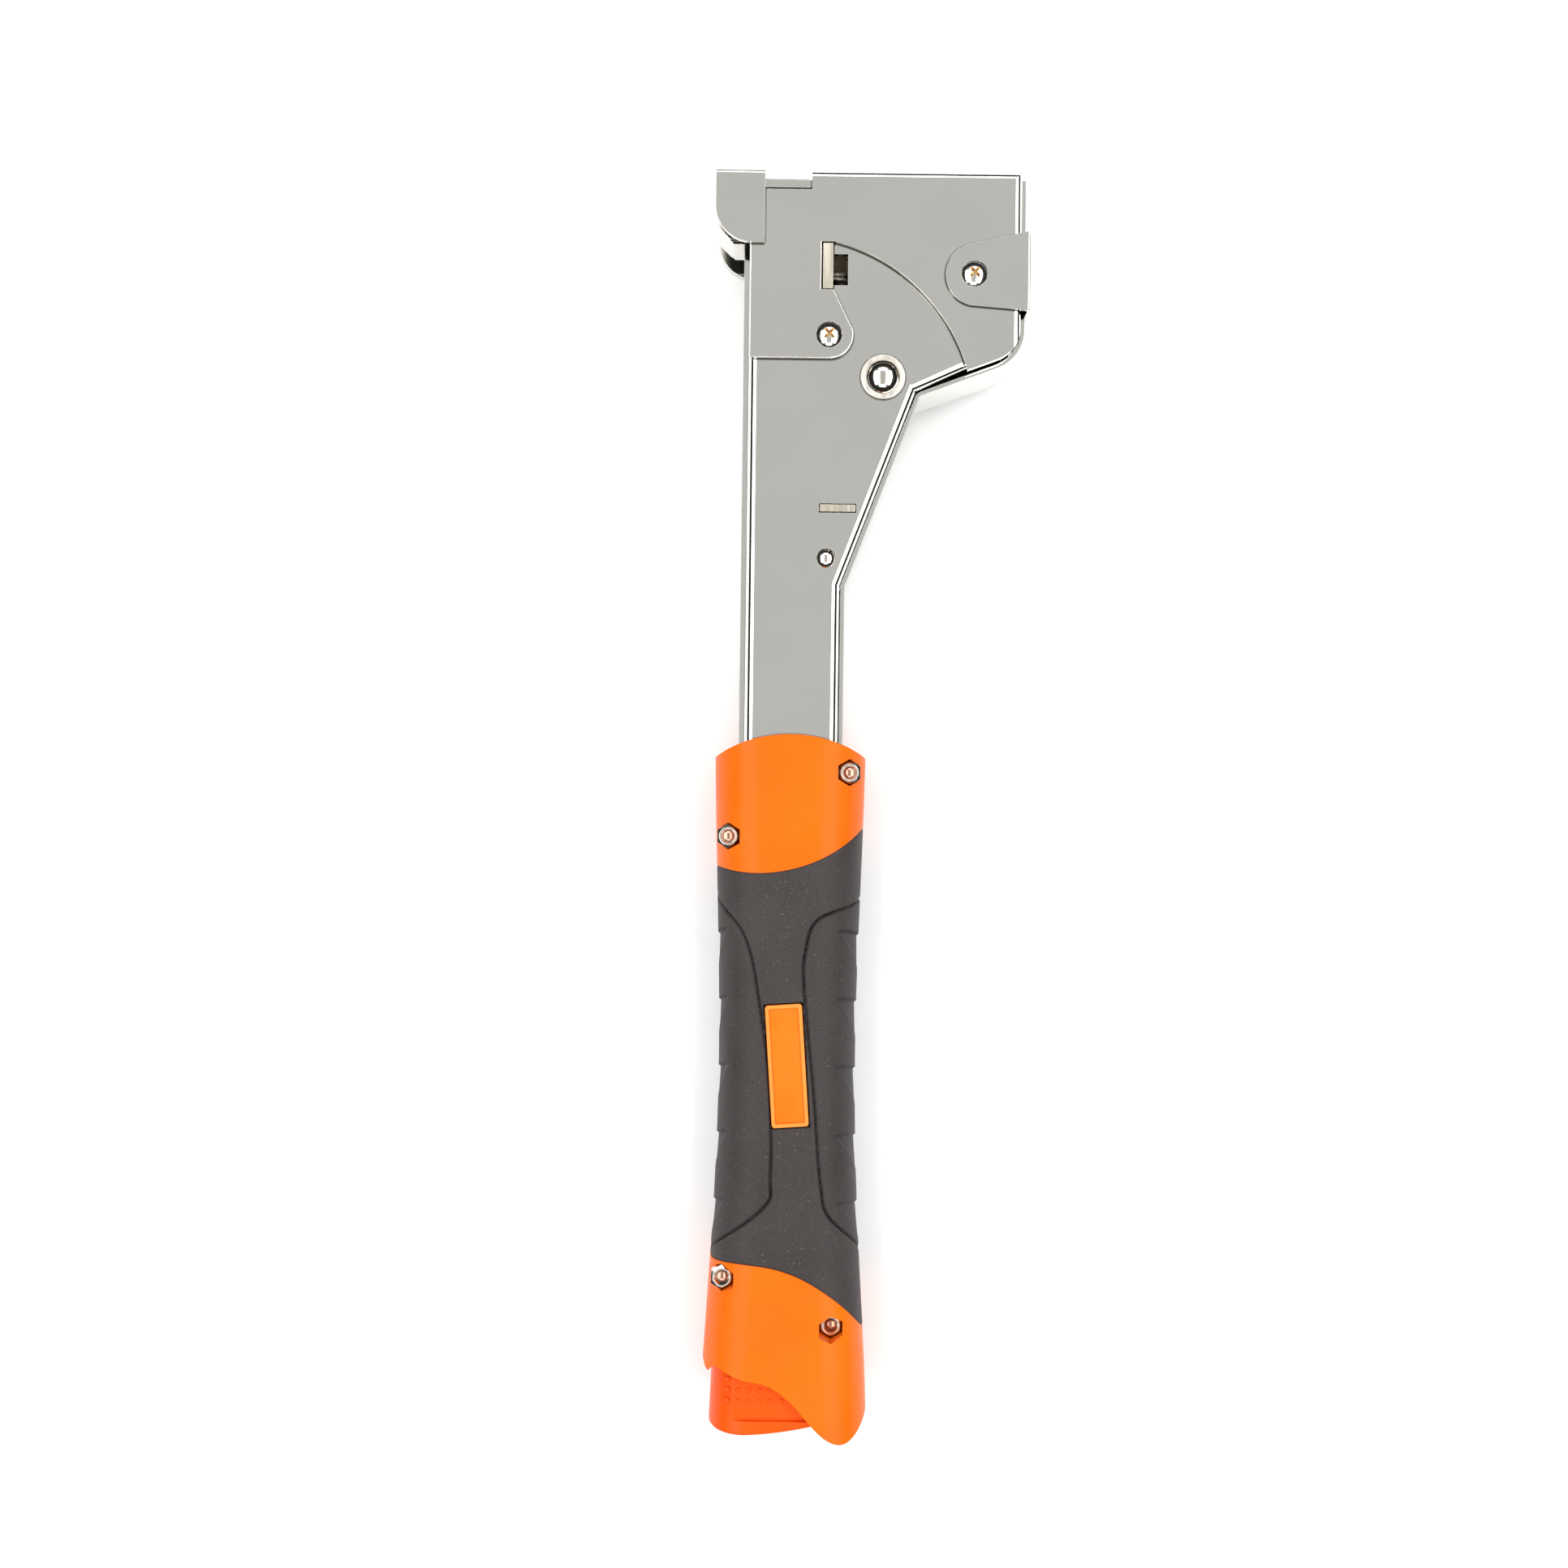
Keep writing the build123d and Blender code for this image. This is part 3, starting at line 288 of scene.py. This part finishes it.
def screw_heads(name):
    """Nickel plating whose driver recesses show the brassy base coat."""
    finish = Finish(name)
    finish.constant(Metallic=1.0)
    x, y, z = finish.axes()
    flat = finish.tree.nodes.new("ShaderNodeCombineXYZ")
    finish.link(x, flat.inputs[0])
    finish.link(y, flat.inputs[1])
    recesses = []
    for place in SCREW_TOPS:
        centre_x, centre_y, top = placed(*place)
        near = finish.tree.nodes.new("ShaderNodeVectorMath")
        near.operation = "DISTANCE"
        near.inputs[1].default_value = (centre_x, centre_y, 0)
        finish.link(flat.outputs[0], near.inputs[0])
        inside = finish.spread(near.outputs["Value"], 1, 0, start=1.75 * MM, end=1.85 * MM)
        deep = finish.spread(z, 1, 0, start=top - 0.45 * MM, end=top - 0.34 * MM)
        recesses.append(finish.combine("MULTIPLY", inside, deep))
    either = finish.combine("MAXIMUM", *recesses)
    plate = finish.mix(finish.spread(finish.noise(300, detail=3), 0, 1), SCREW_DARK, SCREW_LIGHT)
    finish.colour(finish.mix(either, plate, SCREW_RECESS))
    finish.roughness(finish.spread(finish.noise(900), 0.06, 0.16))
    finish.normal(finish.soft_edges(0.12 * MM))
    return finish.material


# ---------------------------------------------------------------- finishes

BADGE_STEP = (14.2, 14.35)      # height off the middle plane at which the badge's field becomes its rim
SCREW_TOPS = ((-10.7, 121.1, 13.7), (25.4, 136.5, 14.5))
SHADE_ATTRIBUTE = "groove"       # share of painted shade at each point of the rubber's mesh

chrome = plated("chrome_sheet", CHROME_LIGHT, CHROME_DARK)
nickel = plated("nickel_fastener", NICKEL_LIGHT, NICKEL_DARK, rough=(0.05, 0.12), wave=0.0)
satin_nickel = plated("satin_washer", SATIN_LIGHT, SATIN_DARK, rough=(0.28, 0.4), wave=0.0)
warm_steel = plated("warm_zinc", WARM_LIGHT, WARM_DARK, rough=(0.2, 0.34))
steel = plated("ground_steel", STEEL_LIGHT, STEEL_DARK, rough=(0.22, 0.36))
dark_steel = plated("oiled_spring_steel", OILED_LIGHT, OILED_DARK, rough=(0.3, 0.45))
wire = plated("galvanised_wire", WIRE_LIGHT, WIRE_DARK, rough=(0.22, 0.34))
copper = plated("yellow_passivated", COPPER_LIGHT, COPPER_DARK, rough=(0.16, 0.3), wave=0.0)
orange = moulded("orange_plastic", ORANGE, ORANGE_DRIFT)
badge_orange = badge("badge_plastic")
pull_orange = moulded("pull_plastic", PULL_ORANGE, PULL_DRIFT, rough=(0.26, 0.38))
grip_rubber = rubber("grip_rubber")
head_screws = screw_heads("screw_nickel")

FINISHES = {
    chrome: (
        "frame_plate_upper", "frame_plate_lower", "spine_strip", "head_cover_upper",
        "head_cover_lower", "front_plate", "back_clip", "nose_guard", "magazine_channel", "nose_anvil",
    ),
    nickel: ("main_rivet", "small_rivet", "head_nuts", "grip_nuts"),
    satin_nickel: ("rivet_washers",),
    head_screws: ("head_screws",),
    warm_steel: ("driver_bracket", "anchor_plate"),
    dark_steel: ("return_spring", "spring_seat", "spring_saddle"),
    steel: (
        "driver_blade", "pivot_pin", "grip_lock_pin", "staple_rail", "follower", "pusher_rod",
        "rod_cross_pin", "pusher_spring",
    ),
    wire: ("staple_strip",),
    copper: ("grip_screws",),
    orange: ("grip_shell_upper", "grip_shell_lower"),
    badge_orange: ("badge_upper", "badge_lower"),
    pull_orange: ("pull_handle",),
    grip_rubber: ("grip_rubber_upper", "grip_rubber_lower"),
}

for material, names in FINISHES.items():
    for name in names:
        slots = nodes[name].data.materials
        slots.clear()
        slots.append(material)


# ---------------------------------------------------------------- grip rubber

# Section and ends of the grip
GRIP_HALF_T = 14.5              # half thickness
GRIP_ROUND = 12.5               # radius of the rounded sides
GRIP_MIDDLE_Y = -60.0
RUBBER_T = 1.5
FRONT_SWEEP = ((-27.4, 24.2), 38.0)         # front ferrule's curved edge: centre and radius
REAR_SWEEP = ((-29.75, -146.3), 34.8)       # rear ferrule's curved edge: centre and radius
LEFT_SPAN = (-112, -16)         # y range over which the rubber's left side is read from the CAD
RIGHT_SPAN = (-124, -3)
SIDE_RAYS = 60
SIDE_DEGREE = 6
RAY_START = 0.1                 # metres from the axis, well outside the grip
RAY_LIFT = 0.3                  # off the parting plane

# Moulded relief
BADGE_CENTRE = (-19.1, -61.7)
BADGE_SIZE = (9.2, 30.5)
BADGE_TURN = math.radians(4.0)
BADGE_POCKET = 1.28
BADGE_WALL = (0.05, 0.45)       # gap round the badge, where the pocket rises to the skin
GROOVE_WIDTH = 0.36
GROOVE_DEPTH = 0.75
LEAF_PITCH = 17.1
LEAF_COUNT = 5
LEAF_DEPTH = 0.55
LEAF_FIRST_Y = -28.3
LEAF_REACH = {-1: 10.2, 1: 14.5}            # length of a leaf in from the parting plane
LEAF_TOP = (1.3, -3.2)          # bow and lean of a leaf's front edge
LEAF_LOW = (-1.5, -12.0)        # bow and lean of its rear edge
END_GAP = (0.28, 0.45)          # depth and width of the step down to each ferrule
PARTING_GAP = (0.18, 0.3)       # depth and width of the parting line
COLUMNS = 170
ROWS = 340
SHARP_ANGLE = math.radians(42)

# Edge of the two side panels in plan, from the front of the grip to the back
LEFT_PANEL = [
    (-37.3, -20.3), (-30.6, -29.0), (-25.8, -48.8), (-23.3, -69.0),
    (-22.9, -89.2), (-24.6, -97.2), (-37.3, -108.9),
]
RIGHT_PANEL = [
    (-1.6, -21.4), (-11.3, -25.0), (-14.7, -32.7), (-15.0, -42.8),
    (-12.2, -69.0), (-10.2, -91.2), (-7.4, -100.3), (-0.1, -110.0),
]


def outline_sampler(node):
    """Half width of the grip on each side of its axis, read from an upper CAD piece at a given y."""
    mesh = nodes[node].data
    tree = BVHTree.FromPolygons([v.co for v in mesh.vertices], [p.vertices for p in mesh.polygons])

    def width(y, side):
        start = Vector((GRIP_X + side * RAY_START, (y + DATUM_Y) * MM, MID_Z + RAY_LIFT * MM))
        hit = tree.ray_cast(start, Vector((-side, 0, 0)))[0]
        return None if hit is None else abs(hit.x - GRIP_X) / MM

    return width


def side_curve(node, side, low, high):
    """Half width in mm against y, as a smooth polynomial through rays cast on the CAD rubber."""
    width = outline_sampler(node)
    found = [(y, width(y, side)) for y in np.linspace(low, high, SIDE_RAYS)]
    found = [(y, w) for y, w in found if w is not None]
    return np.polynomial.Polynomial.fit([y for y, _ in found], [w for _, w in found], SIDE_DEGREE)


half_left = side_curve("grip_rubber_upper", -1, *LEFT_SPAN)
half_right = side_curve("grip_rubber_upper", 1, *RIGHT_SPAN)


def half_width(y, side):
    """Half width at one y on one side; -1 is the striking side."""
    return half_left(y) if side < 0 else half_right(y)


def section_point(reach, half):
    """Point of the rounded section, across and up, and its normal, at an arc length from the crest."""
    flat = half - GRIP_ROUND
    turn = np.clip((reach - flat) / GRIP_ROUND, 0, math.pi / 2)
    across = np.where(reach < flat, reach, flat + GRIP_ROUND * np.sin(turn))
    up = GRIP_HALF_T - GRIP_ROUND + GRIP_ROUND * np.cos(turn)
    drop = np.maximum(reach - flat - GRIP_ROUND * math.pi / 2, 0)
    up = np.where(drop > 0, GRIP_HALF_T - GRIP_ROUND - drop, up)
    return across, up, np.sin(turn), np.cos(turn)


def full_reach(half):
    """Arc length from the crest to the parting plane."""
    return (half - GRIP_ROUND) + GRIP_ROUND * math.pi / 2 + (GRIP_HALF_T - GRIP_ROUND)


def reach_of(across, half):
    """Arc length from the crest of a point at a plan distance from the axis."""
    flat = half - GRIP_ROUND
    return np.where(
        across < flat, across, flat + GRIP_ROUND * np.arcsin(np.clip((across - flat) / GRIP_ROUND, 0, 1))
    )


def smooth_path(points, samples=40):
    """Catmull-Rom curve through a list of points."""
    padded = np.array([points[0]] + list(points) + [points[-1]], float)
    steps = np.linspace(0, 1, samples, endpoint=False)[:, None]
    path = []
    for i in range(1, len(padded) - 2):
        a, b, c, d = padded[i - 1:i + 3]
        path.append(
            0.5 * (2 * b + (c - a) * steps + (2 * a - 5 * b + 4 * c - d) * steps ** 2
                   + (3 * b - a - 3 * c + d) * steps ** 3)
        )
    path.append(padded[-2:-1])
    return np.concatenate(path)


def unrolled_groove(points, side):
    """Panel edge in unrolled coordinates (arc length, y), run out to the parting plane at both ends."""
    plan = [(abs(x - AXIS_MM), y) for x, y in points]
    unrolled = [(float(reach_of(x, half_width(y, side))), y) for x, y in plan]
    first, last = unrolled[0], unrolled[-1]
    head = (float(full_reach(half_width(first[1], side))) + 1, first[1] + 1.0)
    tail = (float(full_reach(half_width(last[1], side))) + 1, last[1] - 1.0)
    return smooth_path([head] + unrolled + [tail])


def distance_to(path, reach, y):
    """Shortest distance from each grid point to a path."""
    nearest = np.full(reach.shape, 1e9)
    for px, py in path:
        nearest = np.minimum(nearest, (reach - px) ** 2 + (y - py) ** 2)
    return np.sqrt(nearest)


def ease(value, start, end):
    """Smooth rise from 0 at start to 1 at end."""
    t = np.clip((value - start) / (end - start), 0, 1)
    return t * t * (3 - 2 * t)


def dip(distance, width):
    """Bell-shaped fall-off on both sides of a line."""
    return np.exp(-((distance / width) ** 2))


def leaf_relief(reach, y, half, side):
    """Depth of the overlapping leaf-shaped finger ridges on one side, and a mask of painted shade along
    their outline.
    """
    inward = full_reach(half) - reach
    t = np.clip(1 - inward / LEAF_REACH[side], 0, 1)
    depth = np.zeros_like(reach)
    rim = np.zeros_like(reach)
    for k in range(LEAF_COUNT):
        apex = LEAF_FIRST_Y - k * LEAF_PITCH
        top = apex + LEAF_TOP[0] * np.sqrt(t) + LEAF_TOP[1] * t
        low = apex + LEAF_LOW[0] * np.sqrt(t) + LEAF_LOW[1] * t
        inside = ease(top - y, 0, 0.35) * ease(y - low, -0.2, 0.7) * ease(t, 0.0, 0.04)
        along = np.clip((top - y) / np.maximum(top - low, 0.1), 0, 1)
        depth = np.maximum(depth, inside * LEAF_DEPTH * (1 - 0.72 * along))
        nearest = np.minimum(abs(top - y), abs(y - low) + 0.12)
        # dark line along each leaf's edges: painted shade
        rim = np.maximum(rim, 0.7 * dip(nearest, 0.3) * ease(t, 0.0, 0.03))
    return depth, rim


def badge_relief(x, y):
    """Pocket under the badge, with a narrow gap round it."""
    cos, sin = math.cos(BADGE_TURN), math.sin(BADGE_TURN)
    dx, dy = x - BADGE_CENTRE[0], y - BADGE_CENTRE[1]
    u, v = dx * cos + dy * sin, -dx * sin + dy * cos
    outside = np.maximum(abs(u) - BADGE_SIZE[0] / 2, abs(v) - BADGE_SIZE[1] / 2)
    return BADGE_POCKET * (1 - ease(outside, *BADGE_WALL))


def sweep_edge(x, sweep, sign):
    """Y of a ferrule's curved edge at a plan position."""
    (centre_x, centre_y), radius = sweep
    return centre_y + sign * np.sqrt(np.maximum(radius ** 2 - (x - centre_x) ** 2, 0))


def finished_mesh(name, mesh, material, body, replaced=()):
    """Turn a bmesh into a shaded piece that rides on a body."""
    data = bpy.data.meshes.new(name)
    mesh.to_mesh(data)
    mesh.free()
    data.materials.append(material)
    data.shade_smooth()
    data.set_sharp_from_angle(angle=SHARP_ANGLE)
    piece = bpy.data.objects.new(name, data)
    bpy.context.scene.collection.objects.link(piece)
    if replaced:
        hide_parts(*replaced)
    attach(piece, body)
    return piece


def skin_points(across, side, y):
    """Grid points of the outer skin at given y: half width, arc length, x, height and normal."""
    half = np.where(side < 0, half_left(y), half_right(y))
    reach = abs(across) * full_reach(half)
    offset, up, nx, nz = section_point(reach, half)
    return half, reach, AXIS_MM + side * offset, up, nx, nz


def skin_relief(x, y, side, half, reach, front, rear):
    """How far the skin is sunk below the plain section, and how much painted shade it takes there."""
    depth = badge_relief(x, y)
    # The badge pocket, grooves and leaf outlines get painted shade.
    painted_shade = 0.8 * depth / depth.max()
    for sign, points in ((-1, LEFT_PANEL), (1, RIGHT_PANEL)):
        mine = side == sign
        groove = dip(distance_to(unrolled_groove(points, sign), reach, y), GROOVE_WIDTH)
        leaf, rim = leaf_relief(reach, y, half, sign)
        for layer in (GROOVE_DEPTH * groove, leaf):
            depth = np.where(mine, np.maximum(depth, layer), depth)
        for layer in (0.95 * groove, rim):
            painted_shade = np.where(mine, np.maximum(painted_shade, layer), painted_shade)
    depth = depth + END_GAP[0] * dip(np.minimum(y - rear, front - y), END_GAP[1])
    depth = depth + PARTING_GAP[0] * dip(full_reach(half) - reach, PARTING_GAP[1])
    return depth, painted_shade


def make_rubber(name, replaced, up_sign):
    """One moulded half of the rubber: outer relief, inner face and closing walls."""
    across, along = np.meshgrid(np.linspace(-1, 1, COLUMNS), np.linspace(0, 1, ROWS), indexing="ij")
    side = np.where(across < 0, -1, 1)
    y = np.full_like(across, GRIP_MIDDLE_Y)
    for _ in range(6):
        x = skin_points(across, side, y)[2]
        front = sweep_edge(x, FRONT_SWEEP, -1)
        rear = sweep_edge(x, REAR_SWEEP, 1)
        y = rear + (front - rear) * along
    half, reach, x, up, nx, nz = skin_points(across, side, y)
    depth, painted_shade = skin_relief(x, y, side, half, reach, front, rear)

    mesh = bmesh.new()
    layers = []
    for inset in (depth, np.full_like(depth, RUBBER_T)):
        px = x - side * nx * inset
        pz = up_sign * (np.maximum(up, 0.02) - nz * inset)
        layers.append([
            [mesh.verts.new(placed(px[i, j], y[i, j], pz[i, j])) for j in range(ROWS)]
            for i in range(COLUMNS)
        ])
    outer, inner = layers
    for i in range(COLUMNS - 1):
        for j in range(ROWS - 1):
            mesh.faces.new((outer[i][j], outer[i + 1][j], outer[i + 1][j + 1], outer[i][j + 1]))
            mesh.faces.new((inner[i][j], inner[i][j + 1], inner[i + 1][j + 1], inner[i + 1][j]))
    for i in range(COLUMNS - 1):
        for j in (0, ROWS - 1):
            mesh.faces.new((outer[i][j], inner[i][j], inner[i + 1][j], outer[i + 1][j]))
    for j in range(ROWS - 1):
        for i in (0, COLUMNS - 1):
            mesh.faces.new((outer[i][j], outer[i][j + 1], inner[i][j + 1], inner[i][j]))
    bmesh.ops.recalc_face_normals(mesh, faces=mesh.faces[:])
    piece = finished_mesh(name, mesh, grip_rubber, "frame", (replaced,))
    # Painted shade for grooves, leaf outlines and the badge pocket, stored per vertex.
    shade_layer = piece.data.attributes.new(SHADE_ATTRIBUTE, "FLOAT", "POINT")
    shares = np.concatenate([painted_shade.ravel(), np.zeros(painted_shade.size)])
    shade_layer.data.foreach_set("value", shares.astype(np.float32))


make_rubber("rubber_skin_upper", "grip_rubber_upper", 1)
make_rubber("rubber_skin_lower", "grip_rubber_lower", -1)


# ---------------------------------------------------------------- pull: grip dots

SCOOP_HALF = 11.3               # floor of the thumb panel, from the middle plane
DOT_SINK = 0.04                 # how far a dot's base is let into that floor
DOT_START = (-33.0, -141.0)
DOT_PITCH = 2.7
DOT_COLUMNS = 6
DOT_ROWS = 3
DOT_RADIUS = 0.62
DOT_HEIGHT = 0.36
DOT_SIDES = 20
DOT_RINGS = 6


def add_dome(mesh, x, y, base, up):
    """Low round dot standing on a flat at a height from the middle plane."""
    turns = [2 * math.pi * k / DOT_SIDES for k in range(DOT_SIDES)]
    previous = None
    for ring in range(DOT_RINGS):
        angle = ring / DOT_RINGS * math.pi / 2
        radius = DOT_RADIUS * math.cos(angle)
        height = base + up * DOT_HEIGHT * math.sin(angle)
        circle = [
            mesh.verts.new(placed(x + radius * math.cos(turn), y + radius * math.sin(turn), height))
            for turn in turns
        ]
        if previous is None:
            mesh.faces.new(circle)
        else:
            for k in range(DOT_SIDES):
                after = (k + 1) % DOT_SIDES
                mesh.faces.new((previous[k], previous[after], circle[after], circle[k]))
        previous = circle
    tip = mesh.verts.new(placed(x, y, base + up * DOT_HEIGHT))
    for k in range(DOT_SIDES):
        mesh.faces.new((previous[k], previous[(k + 1) % DOT_SIDES], tip))


dots = bmesh.new()
for up in (-1, 1):
    for column in range(DOT_COLUMNS):
        for row in range(DOT_ROWS):
            x = DOT_START[0] + column * DOT_PITCH
            y = DOT_START[1] - row * DOT_PITCH
            add_dome(dots, x, y, up * (SCOOP_HALF - DOT_SINK), up)
bmesh.ops.recalc_face_normals(dots, faces=dots.faces[:])
finished_mesh("pull_dots", dots, pull_orange, "pull")


# ---------------------------------------------------------------- stage, light and camera

FLOOR_HALF = 3.0
FLOOR_DARK = (0.90, 0.90, 0.90)
FLOOR_LIGHT = (0.92, 0.92, 0.92)
BACKDROP = (0.93, 0.93, 0.93, 1)
# Brightness of the surround against height: 0 is straight down, 0.5 the horizon, 1 straight up
SURROUND = ((0.0, 0.35), (0.04, 0.02), (0.46, 0.03), (0.62, 0.55), (0.84, 0.56), (1.0, 0.56))
SURROUND_WARMTH = 0.985         # share of blue


def make_floor():
    """Plain pale paper that the tool lies on."""
    mesh = bmesh.new()
    bmesh.ops.create_grid(mesh, x_segments=2, y_segments=2, size=FLOOR_HALF)
    data = bpy.data.meshes.new("floor")
    mesh.to_mesh(data)
    mesh.free()
    paper = Finish("floor_paper")
    shade = paper.spread(paper.noise(40, detail=3), 0, 1)
    paper.colour(paper.mix(shade, FLOOR_DARK, FLOOR_LIGHT))
    paper.constant(Roughness=0.9, Specular_IOR_Level=0.1)
    data.materials.append(paper.material)
    floor = bpy.data.objects.new("floor", data)
    bpy.context.scene.collection.objects.link(floor)


def softbox(name, across, along, height, size, power):
    """Rectangular area light aimed at the middle of the tool and hidden from the camera."""
    place = Vector((GRIP_X + across, along, height))
    light = bpy.data.lights.new(name, "AREA")
    light.shape = "RECTANGLE"
    light.size, light.size_y = size
    light.energy = power
    box = bpy.data.objects.new(name, light)
    box.location = place
    aim = Vector((GRIP_X, 0, MID_Z)) - place
    box.rotation_euler = aim.to_track_quat("-Z", "Y").to_euler()
    box.visible_camera = False
    bpy.context.scene.collection.objects.link(box)


def make_world():
    """Studio surround: grey overhead, dark near the horizon, pale where the camera sees it directly."""
    world = bpy.data.worlds.new("studio")
    bpy.context.scene.world = world
    world.use_nodes = True
    tree = world.node_tree
    tree.nodes.clear()
    place = tree.nodes.new("ShaderNodeTexCoord").outputs["Generated"]
    split = tree.nodes.new("ShaderNodeSeparateXYZ")
    tree.links.new(place, split.inputs[0])
    ramp = tree.nodes.new("ShaderNodeValToRGB")
    points = ramp.color_ramp.elements
    while len(points) < len(SURROUND):
        points.new(0.5)
    for point, (position, level) in zip(points, SURROUND):
        point.position = position
        point.color = (level, level, level * SURROUND_WARMTH, 1)
    tree.links.new(split.outputs[2], ramp.inputs["Fac"])
    seen = tree.nodes.new("ShaderNodeLightPath")
    surround = tree.nodes.new("ShaderNodeBackground")
    tree.links.new(ramp.outputs["Color"], surround.inputs["Color"])
    backdrop = tree.nodes.new("ShaderNodeBackground")
    backdrop.inputs["Color"].default_value = BACKDROP
    mix = tree.nodes.new("ShaderNodeMixShader")
    tree.links.new(seen.outputs["Is Camera Ray"], mix.inputs[0])
    tree.links.new(surround.outputs[0], mix.inputs[1])
    tree.links.new(backdrop.outputs[0], mix.inputs[2])
    output = tree.nodes.new("ShaderNodeOutputWorld")
    tree.links.new(mix.outputs[0], output.inputs["Surface"])


make_floor()
make_world()
for side in (-1, 1):
    softbox(f"softbox_x{side}", side * 0.70, 0.0, 0.98, (1.8, 0.78), 13.0)
softbox("softbox_front", 0.0, 1.02, 0.98, (1.0, 0.42), 4.2)
softbox("softbox_rear", 0.0, -1.05, 0.95, (0.9, 0.4), 3.2)

CAMERA_DESIGN = (-20.65, 8.45, 367.0)       # looks straight down
CAMERA_ROLL = 0.0122
CAMERA_LENS = 32.54

camera = bpy.data.objects.new("camera", bpy.data.cameras.new("camera"))
camera.data.lens = CAMERA_LENS
camera.data.sensor_width = 36.0
camera.data.clip_start = 0.01
camera.location = placed(*CAMERA_DESIGN)
camera.rotation_euler = (0, 0, CAMERA_ROLL)
bpy.context.scene.collection.objects.link(camera)
bpy.context.scene.camera = camera
bpy.context.scene.view_settings.view_transform = "Standard"
